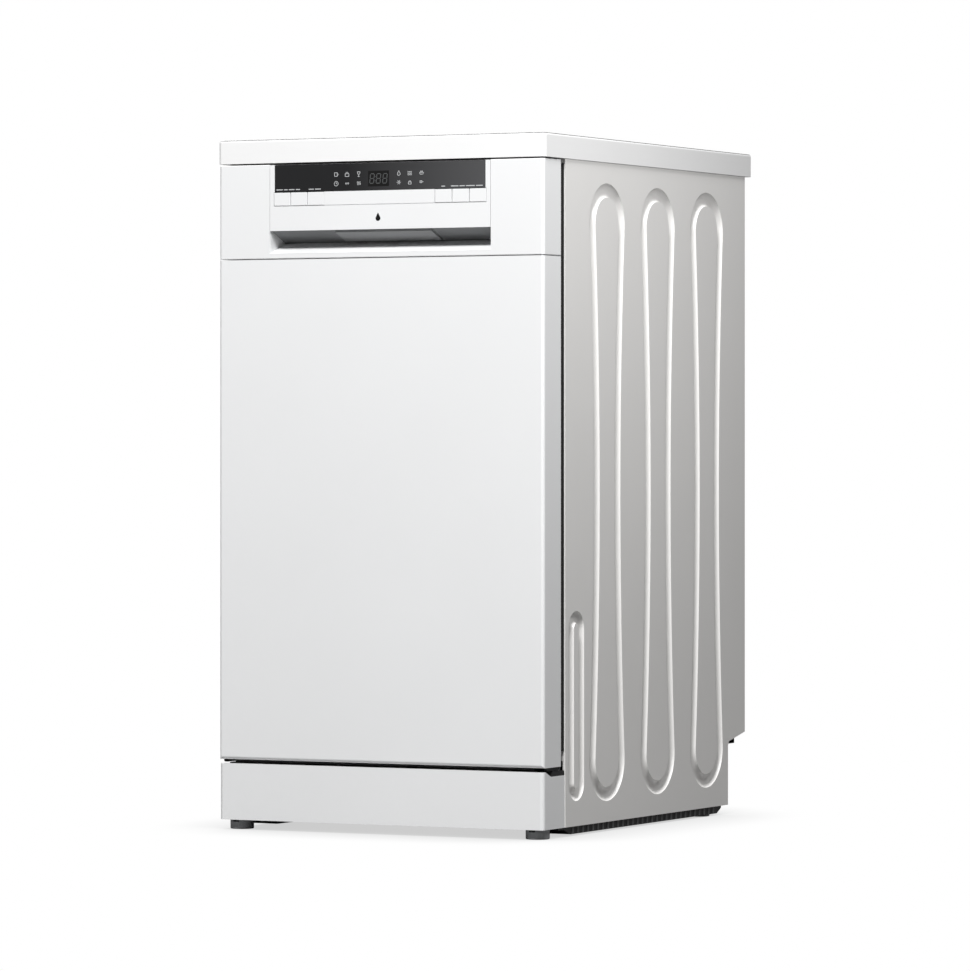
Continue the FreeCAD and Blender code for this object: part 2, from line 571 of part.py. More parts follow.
part("latch_lever", fuse(lever, rod("X", LEVER_AXLE, "1.5", ("-lever_left-5", "lever_right+5"))))
HOOK_AXLE = (from_front("32"), "799")
beak = fuse(block(both("6"), (HOOK_AXLE[0], "%s-3" % CABINET), ("797", "801")),
            block(both("6"), ("%s-6" % CABINET, "%s-3" % CABINET), ("801", "806")),
            rod("X", HOOK_AXLE, "5", both("6")), rod("X", HOOK_AXLE, "2", both("12")))
part("latch_hook", beak)

plate = fuse(block(both("74"), (DISH, "%s+1.5" % DISH), ("378", "532")),
             block(both("65.4"), ("%s-24" % DISH, DISH), ("385", "465")))
plate = rounded(plate, "10", lambda middle, along: abs(along.y) > 0.99
                and middle.y > size("%s+0.1" % DISH) and abs(middle.x) > 73)
cup = block(("-60", "14"), ("%s-22" % DISH, "%s+2" % DISH), ("392", "458"))
rinse = ("42", "425")
part("dispenser_body", cut(plate, cup, rod("Y", rinse, "13", ("%s-22" % DISH, "%s+2" % DISH))))
lid = block(("-64", "18"), ("%s+1.7" % DISH, "%s+4.7" % DISH), ("388", "462"))
lid = rounded(lid, "6", lambda middle, along: abs(along.y) > 0.99)
grip = block(("-44", "-2"), ("%s+4.7" % DISH, "%s+8" % DISH), ("396", "400"))
part("dispenser_lid", fuse(lid, grip))
part("rinse_aid_cap", fuse(rod("Y", rinse, "17", ("%s+1.7" % DISH, "%s+6" % DISH)),
                           rod("Y", rinse, "12.6", ("%s-8" % DISH, "%s+1.7" % DISH)),
                           block(("42-14", "42+14"), ("%s+6" % DISH, "%s+10" % DISH), ("423", "427"))))

arm = prism("YZ", [("%s-8" % HINGE, "hinge_height-6"), ("%s+6" % HINGE, "hinge_height-7"),
                   (from_front("42"), "120"), (from_front("42"), "260"), (from_front("30"), "260"),
                   (from_front("5"), "130")], ("206", "209"))
arm_foot = block(("206", "219"), (from_front("41"), from_front("42.5")), ("150", "255"))
arm = cut(fuse(arm, arm_foot), rod("X", (HINGE, "hinge_height"), "4+running", ("204", "212")))
part("hinge_arms", group(arm, mirror(arm)))


# ---------------------------------------------------------------- racks

def bent_wire(points, bend, radius, closed=False):
    """A round wire along straight runs with an arc at each corner."""
    points = [Vector(*point) for point in points]
    count = len(points)
    corners = range(count) if closed else range(1, count - 1)
    cuts = {}
    for number in corners:
        here = points[number]
        before = (points[number - 1] - here).normalize()
        after = (points[(number + 1) % count] - here).normalize()
        half_turn = before.getAngle(after) / 2
        leg = bend / math.tan(half_turn)
        inner = here + (before + after).normalize() * (bend / math.sin(half_turn) - bend)
        cuts[number] = (here + before * leg, inner, here + after * leg)
    edges = []
    for number in range(count if closed else count - 1):
        following = (number + 1) % count
        begin = cuts[number][2] if number in cuts else points[number]
        finish = cuts[following][0] if following in cuts else points[following]
        edges.append(Part.makeLine(begin, finish))
        if following in cuts:
            edges.append(Part.Arc(*cuts[following]).toShape())
    path = Part.Wire(edges)
    start = path.Edges[0]
    ring = Part.Circle(start.valueAt(start.FirstParameter), start.tangentAt(start.FirstParameter), radius)
    sweep = Part.BRepOffsetAPI.MakePipeShell(path)
    sweep.add(Part.Wire([ring.toShape()]))
    sweep.build()
    sweep.makeSolid()
    return sweep.shape()


def spaced(low, high, count):
    """Evenly spaced places from low to high."""
    return [low + (high - low) * turn / (count - 1) for turn in range(count)]


def sliced(frame, half, front, rear, inset, low, high):
    """A basket's floor and four sides, meeting face to face round the floor's edge."""
    clear = 10
    near = [(-half + inset, front + inset), (half - inset, front + inset),
            (half - inset, rear - inset), (-half + inset, rear - inset)]
    far = [(-half - clear, front - clear), (half + clear, front - clear),
           (half + clear, rear + clear), (-half - clear, rear + clear)]
    outlines = [near]
    for turn in range(4):
        following = (turn + 1) % 4
        outlines.append([near[turn], near[following], far[following], far[turn]])
    pieces = []
    for outline in outlines:
        corners = [Vector(across, back, low) for across, back in outline]
        face = Part.Face(Part.makePolygon(corners + corners[:1]))
        pieces += frame.common(face.extrude(Vector(0, 0, high - low))).Solids
    return pieces


RACK_HALF = size("rack_half")
RACK_FRONT = size(from_front("rack_front"))
RACK_REAR = size(from_front("rack_rear"))
RIM_WIRE = size("rim_wire")
WIRE = size("wire")
WELD = 0.6
WIRE_BEND = 8
CORNER_BEND = 24
LONG_PLACES = spaced(-RACK_HALF + 44, RACK_HALF - 44, 6)
CROSS_PLACES = spaced(RACK_FRONT + 36, RACK_REAR - 36, 9)


def wire_rack(base, rim, middle):
    """A welded basket of level loops and U-shaped wires both ways, as its floor and four sides."""
    wires = []
    for level, radius in ((rim, RIM_WIRE), (middle, WIRE)):
        inset = RIM_WIRE - radius
        side, front, rear = RACK_HALF - inset, RACK_FRONT + inset, RACK_REAR - inset
        ring = [(side, front, level), (side, rear, level), (-side, rear, level), (-side, front, level)]
        wires.append(bent_wire(ring, CORNER_BEND - inset, radius, closed=True))
    inset = RIM_WIRE + WIRE - WELD
    side = RACK_HALF - inset
    for back in CROSS_PLACES:
        hoop = [(-side, back, rim), (-side, back, base), (side, back, base), (side, back, rim)]
        wires.append(bent_wire(hoop, WIRE_BEND, WIRE))
    ends = (RACK_FRONT + inset, RACK_REAR - inset)
    level = base + 2 * WIRE - WELD
    for across in LONG_PLACES:
        hoop = [(across, ends[0], rim), (across, ends[0], level),
                (across, ends[1], level), (across, ends[1], rim)]
        wires.append(bent_wire(hoop, WIRE_BEND, WIRE))
    frame = wires[0].multiFuse(wires[1:])
    return sliced(frame, RACK_HALF, RACK_FRONT, RACK_REAR, inset + WIRE_BEND, base - 10, rim + 10)


def tines(base, rows, backs, tall):
    """Upright pins, each welded to the side of a lengthwise floor wire."""
    radius = 0.9 * WIRE
    level = base + 2 * WIRE - WELD - 1
    return [Part.makeCylinder(radius, tall, Vector(row + WIRE + radius + 0.02, back, level))
            for row in rows for back in backs]


LOW_RACK, HIGH_RACK = size("low_rack"), size("high_rack")
low_wires = wire_rack(LOW_RACK, size("low_rim"), LOW_RACK + 62)
low_wires += tines(LOW_RACK, (LONG_PLACES[1], LONG_PLACES[4]), spaced(-118, 208, 13), 82)
for side in (-1, 1):
    for place_back in (size(from_front("wheel_front")), size(from_front("wheel_rear"))):
        outward = Vector(side, 0, 0)
        carrier = Vector(side * (RACK_HALF + 1.45), place_back - 8, size("wheel_centre-4"))
        low_wires.append(Part.makeBox(3.55, 16, 98, carrier if side > 0 else carrier - Vector(3.55, 0, 0)))
        start = Vector(side * (RACK_HALF + 5), place_back, size("wheel_centre"))
        low_wires.append(Part.makeCylinder(size("axle"), 8.5, start, outward))
part("lower_rack", shaped(Part.makeCompound(low_wires)))
high_wires = wire_rack(HIGH_RACK, size("high_rim"), HIGH_RACK + 44)
high_wires += tines(HIGH_RACK, (LONG_PLACES[1], LONG_PLACES[3]), spaced(-200, 190, 14), 52)
part("upper_rack", shaped(Part.makeCompound(high_wires)))

for name in ("front", "rear"):
    centre = (from_front("wheel_" + name), "wheel_centre")
    tyre = rounded(rod("X", centre, "wheel_round", ("rack_half+6.5", "rack_half+12.5")), "1.5",
                   lambda middle, along: True)
    dished = cut(rod("X", centre, "wheel_round-4", ("rack_half+11", "rack_half+14")),
                 rod("X", centre, "7", ("rack_half+10", "rack_half+15")))
    wheel = cut(tyre, dished, rod("X", centre, "axle+running", ("rack_half+5", "rack_half+15")))
    part("rack_wheels_" + name, group(wheel, mirror(wheel)))

runner = fuse(block(("tub_half-9.8", "tub_half-3.1"), (from_front("72"), from_front("520")),
                    ("rail_base+3.1", "rail_base+16.9")),
              block(("rack_half-3", "tub_half-9.8"), (from_front("100"), from_front("180")),
                    ("rail_base+5", "rail_base+15")),
              block(("rack_half-3", "tub_half-9.8"), (from_front("380"), from_front("460")),
                    ("rail_base+5", "rail_base+15")))
part("rack_runners", group(runner, mirror(runner)))

ARM_FEED = ("0", "high_arm+feed_rise")
holder = fuse(rod("Y", ARM_FEED, "8", ("-12", "tub_rear-24")),
              rod("Z", ("0", "0"), "stem_hub", ("high_arm-3", "high_arm+feed_rise")),
              rod("Z", ("0", "0"), "12", ("high_arm-6", "high_arm-1")),
              rod("Z", ("0", "0"), "14", ("high_arm+arm_tall+2", "high_arm+22")),
              block(both("6"), ("70", "78"), ("high_arm+feed_rise+4", "high_rack+2")),
              block(both("6"), ("-12", "-4"), ("high_arm+feed_rise", "high_rack+2")))
part("upper_arm_holder", holder)


def spray_arm(level):
    """A flat two-bladed arm on a round hub, with a row of raised jets on its upper face."""
    reach, wide = "arm_reach", "arm_wide"
    outline = [("-%s" % reach, "-8"), ("-%s+6" % reach, "-12"), ("-50", "-%s" % wide), ("50", "-%s" % wide),
               ("%s-6" % reach, "-12"), (reach, "-8"), (reach, "8"), ("%s-6" % reach, "12"),
               ("50", wide), ("-50", wide), ("-%s+6" % reach, "12"), ("-%s" % reach, "8")]
    blade = prism("XY", outline, (level, "%s+arm_tall" % level))
    blade = rounded(blade, "3", lambda middle, along: abs(along.z) < 0.1)
    jets = [rod("Z", ("%g" % spot, "4" if spot > 0 else "-4"), "3.5",
                ("%s+arm_tall-1" % level, "%s+arm_tall+1.5" % level))
            for spot in (-160, -130, -100, -70, 70, 100, 130, 160)]
    hub = rod("Z", ("0", "0"), "20", ("%s-0.6" % level, "%s+arm_tall+1.2" % level))
    bore = rod("Z", ("0", "0"), "stem_hub+running", ("%s-5" % level, "%s+arm_tall+5" % level))
    return cut(fuse(blade, hub, *jets), bore)


part("lower_spray_arm", spray_arm("low_arm"))
part("upper_spray_arm", spray_arm("high_arm"))

basket = block(both("basket_half"), (from_front("basket_front"), from_front("basket_rear")),
               ("low_rack+8", "low_rack+118"))
basket = rounded(basket, "basket_round", upright)
basket_room = block(both("basket_half-basket_wall"),
                    (from_front("basket_front+basket_wall"), from_front("basket_rear-basket_wall")),
                    ("low_rack+8+basket_wall", "low_rack+120"))
basket_room = rounded(basket_room, "basket_round-basket_wall", upright)
SLOT_LEVELS = ("low_rack+22", "low_rack+100")
slots = []
for turn in range(-4, 5):
    slots.append(block(("%d*15-4" % turn, "%d*15+4" % turn),
                       (from_front("basket_front-6"), from_front("basket_rear+4")), SLOT_LEVELS))
for turn in range(4):
    start = "basket_front+11+%d*15" % turn
    slots.append(block(both("basket_half+8"),
                       (from_front("%s-1" % start), from_front("%s+7" % start)), SLOT_LEVELS))
basket = cut(basket, basket_room, *slots)
doc.recompute()
BASKET_HALF = size("basket_half")
basket_parts = sliced(basket.Shape, BASKET_HALF, size(from_front("basket_front")),
                      size(from_front("basket_rear")), 4, LOW_RACK, LOW_RACK + 130)
middle = size(from_front("(basket_front+basket_rear)/2"))
basket_parts.append(Part.makeBox(2, 68, 102, Vector(-1, middle - 34, LOW_RACK + 10)))
for side in (-70, 1):
    basket_parts.append(Part.makeBox(69, 4, 8, Vector(side, middle - 2, LOW_RACK + 98)))
HANDLE_FOOT, HANDLE_TOP = LOW_RACK + 106, LOW_RACK + 160
handle = bent_wire([(-60, middle, HANDLE_FOOT), (-60, middle, HANDLE_TOP),
                    (60, middle, HANDLE_TOP), (60, middle, HANDLE_FOOT)], 20, 3)
for low, high in ((-70, -40), (-40, 40), (40, 70)):
    room = Part.makeBox(high - low, 10, 70, Vector(low, middle - 5, LOW_RACK + 100))
    basket_parts += handle.common(room).Solids
part("cutlery_basket", shaped(Part.makeCompound(basket_parts)))


# ---------------------------------------------------------------- check and write

doc.recompute()
faults = [thing.Name for thing in doc.Objects
          if "Invalid" in thing.State or "Error" in thing.State]
for label, thing in PARTS.items():
    if thing.Shape.isNull() or not thing.Shape.isValid() or not thing.Shape.Solids:
        faults.append(label)
if faults:
    raise RuntimeError("these failed: " + ", ".join(faults))
os.makedirs("parts", exist_ok=True)
for label, thing in PARTS.items():
    thing.Shape.exportStep("parts/%s.step" % label)
print(len(PARTS), "sub-parts written")
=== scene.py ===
"""Slimline dishwasher: finishes, small visible pieces, stage, light and camera round the fixed frame."""
import json
import math
import bmesh
import bpy
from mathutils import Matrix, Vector


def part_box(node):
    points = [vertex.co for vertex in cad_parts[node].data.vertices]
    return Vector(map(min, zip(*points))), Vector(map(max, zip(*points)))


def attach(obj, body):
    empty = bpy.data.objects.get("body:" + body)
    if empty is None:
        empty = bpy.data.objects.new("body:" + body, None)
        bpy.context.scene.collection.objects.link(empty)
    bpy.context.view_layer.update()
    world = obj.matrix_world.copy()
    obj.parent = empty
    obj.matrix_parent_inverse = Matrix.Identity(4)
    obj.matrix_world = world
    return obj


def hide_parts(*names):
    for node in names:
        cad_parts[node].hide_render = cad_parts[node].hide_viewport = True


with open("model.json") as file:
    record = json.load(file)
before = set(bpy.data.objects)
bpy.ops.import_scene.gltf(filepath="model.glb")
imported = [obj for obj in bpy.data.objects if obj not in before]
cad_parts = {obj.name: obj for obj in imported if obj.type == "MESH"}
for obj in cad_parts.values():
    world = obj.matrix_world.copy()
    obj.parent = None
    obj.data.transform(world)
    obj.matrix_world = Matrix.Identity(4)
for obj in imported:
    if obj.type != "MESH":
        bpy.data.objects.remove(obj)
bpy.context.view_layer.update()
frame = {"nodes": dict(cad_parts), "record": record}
SLOTS = {entry["node"]: entry["material_slot"] for entry in frame["record"]["subparts"]}
MM = 0.001
MICRON = 0.000001


# ------------------------------------------------------------------ materials

def new_material(name):
    """A node material, its tree and its Principled surface."""
    material = bpy.data.materials.new(name)
    material.use_nodes = True
    return material, material.node_tree, material.node_tree.nodes["Principled BSDF"]


def texture_place(tree, stretch=(1, 1, 1)):
    """Object coordinates, stretched along the axes."""
    place = tree.nodes.new("ShaderNodeTexCoord")
    mapping = tree.nodes.new("ShaderNodeMapping")
    mapping.inputs["Scale"].default_value = stretch
    tree.links.new(place.outputs["Object"], mapping.inputs["Vector"])
    return mapping.outputs["Vector"]


def noise(tree, vector, scale, detail=3.0, rough=0.5):
    """A noise texture's value."""
    node = tree.nodes.new("ShaderNodeTexNoise")
    node.inputs["Scale"].default_value = scale
    node.inputs["Detail"].default_value = detail
    node.inputs["Roughness"].default_value = rough
    tree.links.new(vector, node.inputs["Vector"])
    return node.outputs["Fac"]


def ramp(tree, value, low, high, low_at=0.3, high_at=0.7):
    """A colour between two colours as a value goes from low_at to high_at."""
    node = tree.nodes.new("ShaderNodeValToRGB")
    node.color_ramp.elements[0].position = low_at
    node.color_ramp.elements[1].position = high_at
    node.color_ramp.elements[0].color = (*low, 1)
    node.color_ramp.elements[1].color = (*high, 1)
    tree.links.new(value, node.inputs["Fac"])
    return node.outputs["Color"]


def scaled(tree, value, low, high):
    """A value mapped from 0..1 onto low..high."""
    node = tree.nodes.new("ShaderNodeMapRange")
    node.inputs["To Min"].default_value = low
    node.inputs["To Max"].default_value = high
    tree.links.new(value, node.inputs["Value"])
    return node.outputs["Result"]


def add_bump(tree, shader, value, microns):
    """Raise the surface by a value times a height in microns."""
    node = tree.nodes.new("ShaderNodeBump")
    node.inputs["Strength"].default_value = 1.0
    node.inputs["Distance"].default_value = microns * MICRON
    tree.links.new(value, node.inputs["Height"])
    tree.links.new(node.outputs["Normal"], shader.inputs["Normal"])


CLOUD_SCALE, GLOSS_SCALE = 6, 18
COAT_ROUGH = 0.15


def coated(name, colour, rough, tint, grain, microns, coat=0.0, metal=0.0):
    """Paint, plastic or plating.

    The colour clouds over by the share tint, the gloss wanders round rough, and a raised grain of the
    given scale and height in microns lies on top.
    """
    material, tree, shader = new_material(name)
    vector = texture_place(tree)
    clouds = noise(tree, vector, CLOUD_SCALE, 4)
    low = tuple(max(0, part * (1 - tint)) for part in colour)
    high = tuple(min(1, part * (1 + tint)) for part in colour)
    tree.links.new(ramp(tree, clouds, low, high), shader.inputs["Base Color"])
    gloss = noise(tree, vector, GLOSS_SCALE, 3)
    tree.links.new(scaled(tree, gloss, rough * 0.85, rough * 1.15), shader.inputs["Roughness"])
    add_bump(tree, shader, noise(tree, vector, grain, 2), microns)
    shader.inputs["Metallic"].default_value = metal
    shader.inputs["Coat Weight"].default_value = coat
    shader.inputs["Coat Roughness"].default_value = COAT_ROUGH
    return material


# Left: the window's own dark colour. Right: greyer, a painted reflection of the light.
LEFT_COLOUR, RIGHT_REFLECTION_GREY = (0.012, 0.012, 0.013), (0.075, 0.075, 0.078)
REFLECTION_FROM = 0.35


def smoked_window():
    """Dark glossy window, a little greyer towards its right end, where a reflection is painted into its
    colour.
    """
    material, tree, shader = new_material("smoked_window")
    place = tree.nodes.new("ShaderNodeTexCoord")
    split = tree.nodes.new("ShaderNodeSeparateXYZ")
    tree.links.new(place.outputs["Object"], split.inputs["Vector"])
    left_end, right_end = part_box("display_window")
    along = tree.nodes.new("ShaderNodeMapRange")
    along.inputs["From Min"].default_value = left_end.x
    along.inputs["From Max"].default_value = right_end.x
    tree.links.new(split.outputs["X"], along.inputs["Value"])
    # Painted reflection: the colour greys towards the window's right end.
    colour = ramp(tree, along.outputs["Result"], LEFT_COLOUR, RIGHT_REFLECTION_GREY, REFLECTION_FROM, 1.0)
    tree.links.new(colour, shader.inputs["Base Color"])
    vector = texture_place(tree)
    tree.links.new(scaled(tree, noise(tree, vector, 40), 0.16, 0.24), shader.inputs["Roughness"])
    add_bump(tree, shader, noise(tree, vector, 500), 4)
    return material


STEEL_COLOUR, STEEL_ROUGH = (0.66, 0.665, 0.67), 0.26
BRUSHING = (6, 6, 400)


def stainless():
    """Stainless sheet with fine brushing lines along one axis."""
    material, tree, shader = new_material("stainless_sheet")
    vector = texture_place(tree, BRUSHING)
    lines = noise(tree, vector, 4, 5, 0.7)
    low = tuple(part * 0.82 for part in STEEL_COLOUR)
    tree.links.new(ramp(tree, lines, low, STEEL_COLOUR), shader.inputs["Base Color"])
    tree.links.new(scaled(tree, lines, STEEL_ROUGH * 0.7, STEEL_ROUGH * 1.4), shader.inputs["Roughness"])
    add_bump(tree, shader, lines, 20)
    shader.inputs["Metallic"].default_value = 1.0
    return material


ZINC_DARK, ZINC_LIGHT = (0.5, 0.52, 0.54), (0.72, 0.74, 0.75)


def galvanised():
    """Zinc-coated sheet with its crystal flakes."""
    material, tree, shader = new_material("galvanised_zinc")
    vector = texture_place(tree)
    flakes = tree.nodes.new("ShaderNodeTexVoronoi")
    flakes.inputs["Scale"].default_value = 90
    tree.links.new(vector, flakes.inputs["Vector"])
    split = tree.nodes.new("ShaderNodeSeparateColor")
    tree.links.new(flakes.outputs["Color"], split.inputs["Color"])
    tree.links.new(ramp(tree, split.outputs["Red"], ZINC_DARK, ZINC_LIGHT, 0.0, 1.0),
                   shader.inputs["Base Color"])
    tree.links.new(scaled(tree, split.outputs["Green"], 0.3, 0.5), shader.inputs["Roughness"])
    add_bump(tree, shader, noise(tree, vector, 300), 10)
    shader.inputs["Metallic"].default_value = 0.85
    return material


FELT_DARK, FELT_LIGHT = (0.03, 0.03, 0.03), (0.1, 0.1, 0.1)


def felt():
    """Matted insulation felt."""
    material, tree, shader = new_material("bitumen_felt")
    vector = texture_place(tree)
    fibres = noise(tree, vector, 260, 6, 0.75)
    tree.links.new(ramp(tree, fibres, FELT_DARK, FELT_LIGHT), shader.inputs["Base Color"])
    add_bump(tree, shader, fibres, 600)
    shader.inputs["Roughness"].default_value = 0.95
    return material


# Each row after the name: colour, roughness, tint, grain scale and grain height in microns.
FINISHES = {
    "white_worktop": coated("white_melamine", (0.86, 0.86, 0.86), 0.38, 0.01, 1400, 12),
    "white_steel": coated("white_enamel", (0.85, 0.855, 0.86), 0.3, 0.008, 700, 12, coat=0.15),
    "side_steel": coated("side_enamel", (0.80, 0.79, 0.775), 0.36, 0.012, 800, 14, coat=0.1),
    "galvanised": galvanised(),
    "stainless": stainless(),
    "white_plastic": coated("white_plastic", (0.84, 0.845, 0.85), 0.34, 0.01, 1200, 10),
    "window_plastic": smoked_window(),
    "dark_grey_plastic": coated("dark_grey_plastic", (0.11, 0.11, 0.113), 0.45, 0.06, 1600, 20),
    "grey_plastic": coated("grey_plastic", (0.17, 0.175, 0.18), 0.45, 0.05, 1500, 20),
    "pale_grey_plastic": coated("pale_grey_plastic", (0.42, 0.44, 0.46), 0.42, 0.04, 1500, 20),
    "black_plastic": coated("black_plastic", (0.012, 0.012, 0.012), 0.5, 0.1, 1300, 30),
    "black_rubber": coated("black_rubber", (0.01, 0.01, 0.01), 0.75, 0.1, 1800, 30),
    "coated_wire": coated("nylon_wire", (0.2, 0.215, 0.23), 0.4, 0.05, 1500, 10, coat=0.2),
    "circuit_green": coated("circuit_green", (0.02, 0.12, 0.05), 0.35, 0.1, 600, 30),
    "felt": felt(),
    "zinc_screws": coated("zinc_plate", (0.6, 0.6, 0.62), 0.3, 0.05, 900, 10, metal=1.0),
    # Recess ceiling: its grey is set darker, to the tone of the shade in the handle recess; partly the
    # part's own colour, partly painted shade.
    "recess_grey_and_shade": coated("recess_grey_and_shade", (0.2, 0.205, 0.21), 0.45, 0.04, 1500, 20),
    "foot_plastic": coated("foot_plastic", (0.4, 0.41, 0.42), 0.5, 0.05, 1500, 20),
    "edge_painted_shade": coated("edge_painted_shade", (0.09, 0.09, 0.092), 0.45, 0.05, 1500, 10),
    # Latch lever: its grey is darkened the same way; partly its own colour, partly painted shade of the
    # recess.
    "lever_grey_and_shade": coated("lever_grey_and_shade", (0.28, 0.285, 0.29), 0.4, 0.04, 1500, 20),
    "pale_ink": coated("printed_pale_ink", (0.55, 0.56, 0.57), 0.5, 0.03, 1500, 4),
    "unlit_segments": coated("unlit_segments", (0.075, 0.078, 0.08), 0.35, 0.05, 1500, 4),
    "display_glass": coated("display_glass", (0.004, 0.004, 0.004), 0.15, 0.05, 900, 3),
}
OWN_LOOKS = {"handle_ceiling": "recess_grey_and_shade", "latch_lever": "lever_grey_and_shade",
             "foot_front_left": "foot_plastic", "foot_front_right": "foot_plastic",
             "foot_rear_left": "foot_plastic", "foot_rear_right": "foot_plastic"}


def paint(obj, material):
    """Give an object one material in every slot."""
    if not obj.material_slots:
        obj.data.materials.append(material)
    for entry in obj.material_slots:
        entry.link = "OBJECT"
        entry.material = material


for node, obj in frame["nodes"].items():
    paint(obj, FINISHES[OWN_LOOKS.get(node, SLOTS[node])])


# ------------------------------------------------------------------ small visible pieces

def solid(name, body, material, build):
    """A mesh piece built by a function on a bmesh, riding on a body."""
    mesh = bpy.data.meshes.new(name)
    work = bmesh.new()
    build(work)
    bmesh.ops.remove_doubles(work, verts=work.verts, dist=1e-7)
    bmesh.ops.recalc_face_normals(work, faces=work.faces)
    work.to_mesh(mesh)
    work.free()
    obj = bpy.data.objects.new(name, mesh)
    bpy.context.collection.objects.link(obj)
    paint(obj, material)
    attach(obj, body)
    return obj


def skin(work, loops, endless=False):
    """Faces from each loop of points to the next, and either caps at both ends or an endless ring."""
    loops = [[work.verts.new(point) for point in loop] for loop in loops]
    for first, second in zip(loops, loops[1:] + loops[:1] if endless else loops[1:]):
        for here in range(len(first)):
            there = (here + 1) % len(first)
            work.faces.new((first[here], first[there], second[there], second[here]))
    if not endless:
        work.faces.new(list(reversed(loops[0])))
        work.faces.new(loops[-1])


def slab(work, outline, front, back):
    """Extrude a closed outline in the XZ plane from front to back along Y."""
    skin(work, [[(x, depth, z) for x, z in outline] for depth in (front, back)])


def profile_bar(work, outline, left, right):
    """Extrude an outline of depths and heights along X."""
    skin(work, [[(across, depth, height) for depth, height in outline] for across in (left, right)])


def arc_points(centre, radius, start, end, steps):
    """Points along an arc in the XZ plane, angles in degrees."""
    points = []
    for step in range(steps + 1):
        angle = math.radians(start + (end - start) * step / steps)
        points.append((centre[0] + radius * math.cos(angle), centre[1] + radius * math.sin(angle)))
    return points


def circle(centre, radius, sides):
    """Points right round a circle in the XZ plane."""
    return arc_points(centre, radius, 0, 360 - 360 / sides, sides - 1)


def turned(work, centre, face, rings, sides=32):
    """A turned piece along Y, from rings of radius and distance behind a face."""
    skin(work, [[(x, face + out, z) for x, z in circle(centre, radius, sides)] for radius, out in rings])


def band(work, points, width, front, back):
    """A line of a given width along points in the XZ plane, as one slab per run."""
    for (ax, az), (bx, bz) in zip(points, points[1:]):
        length = math.hypot(bx - ax, bz - az)
        if length < 1e-9:
            continue
        nx, nz = -(bz - az) / length * width / 2, (bx - ax) / length * width / 2
        corners = [(ax + nx, az + nz), (ax - nx, az - nz), (bx - nx, bz - nz), (bx + nx, bz + nz)]
        slab(work, corners, front, back)


def tube(work, points, radius, sides):
    """A round wire through points, its section turned without twist."""
    points = [Vector(point) for point in points]
    rings = []
    side = None
    for number, point in enumerate(points):
        along = points[min(number + 1, len(points) - 1)] - points[max(number - 1, 0)]
        along.normalize()
        if side is None:
            side = along.orthogonal().normalized()
        side = (side - along * side.dot(along)).normalized()
        across = along.cross(side)
        rings.append([point + (side * math.cos(turn) + across * math.sin(turn)) * radius
                      for turn in (2 * math.pi * step / sides for step in range(sides))])
    skin(work, rings)


WINDOW_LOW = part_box("display_window")[0]
FRONT = WINDOW_LOW.y
SUNK = 0.05 * MM
INK_PROUD, GLASS_PROUD, SEGMENT_PROUD = 0.12 * MM, 0.08 * MM, 0.2 * MM
ICON_SIZE = 7.2 * MM
STROKE = 0.62 * MM
ICON_COLUMNS = [x * MM for x in (-59, -44, -28, 27, 42, 58)]
ICON_ROWS = [WINDOW_LOW.z + rise * MM for rise in (20.0, 9.0)]


def ring(radius, start=0, end=360, centre=(0, 0)):
    """A round stroke of a pictogram."""
    return arc_points(centre, radius, start, end, max(6, int(abs(end - start) / 20)))


# Strokes of the pictograms, in a square of side 1 about its middle.
CUP = [[(-.35, .32), (-.3, -.3), (.18, -.3), (.22, .32), (-.35, .32)], ring(.16, -80, 80, (.22, .02))]
POT = [[(-.35, .12), (-.35, -.35), (.35, -.35), (.35, .12), (-.35, .12)], ring(.24, 0, 180, (0, .12))]
STEMWARE = [[(-.26, .4), (-.18, .02), (0, -.08), (.18, .02), (.26, .4), (-.26, .4)],
            [(0, -.08), (0, -.4)], [(-.18, -.4), (.18, -.4)]]
DROP = [ring(.26, -215, 35, (0, -.12)) + [(0, .44), (-.21, .03)]]
WAVES = [ring(.2, 200, 340, (x, z)) for x in (-.2, .2) for z in (.35, .1, -.15)]
PLATES = [[(-.4, .08), (-.28, -.25), (.28, -.25), (.4, .08)]]
PLATES += [[(x, .32), (x, -.05)] for x in (-.18, 0, .18)]
CLOCK = [ring(.38), [(0, .24), (0, 0), (.18, 0)]]
BEADS = [ring(.12, centre=(-.2, 0)), ring(.12, centre=(.2, 0)), ring(.05, centre=(-.2, 0)),
         ring(.05, centre=(.2, 0))]
STEAM = [[(x, -.3), (x + .1, -.1), (x - .05, .1), (x + .06, .3)] for x in (-.25, 0, .25)]
SUN = [ring(.14)]
SUN += [[(reach * math.cos(turn), reach * math.sin(turn)) for reach in (.22, .38)]
        for turn in (math.radians(60 * step) for step in range(6))]
LOCK = [[(-.26, .02), (-.26, -.36), (.26, -.36), (.26, .02), (-.26, .02)], ring(.17, 0, 180, (0, .05))]
PLUG = [[(-.3, .16), (.1, .16), (.1, -.16), (-.3, -.16), (-.3, .16)],
        [(.1, 0), (.36, 0)], [(-.2, 0), (0, 0)]]
PICTOGRAMS = ((CUP, POT, STEMWARE, DROP, WAVES, PLATES), (CLOCK, BEADS, STEAM, SUN, LOCK, PLUG))


def draw_pictograms(work):
    """The rows of care pictograms on both sides of the digits."""
    for row, place_up in zip(PICTOGRAMS, ICON_ROWS):
        for strokes, place_side in zip(row, ICON_COLUMNS):
            for stroke in strokes:
                points = [(place_side + x * ICON_SIZE, place_up + z * ICON_SIZE) for x, z in stroke]
                band(work, points, STROKE, FRONT - INK_PROUD, FRONT + SUNK)


TICK_RISE, TICK_TALL, TICK_GAP = 3.6 * MM, 1.1 * MM, 1.6
TICKS = ((-142, (9, 5, 8, 6)), (-97, (7, 8)), (85, (5,)), (98, (10, 7, 12, 9)))


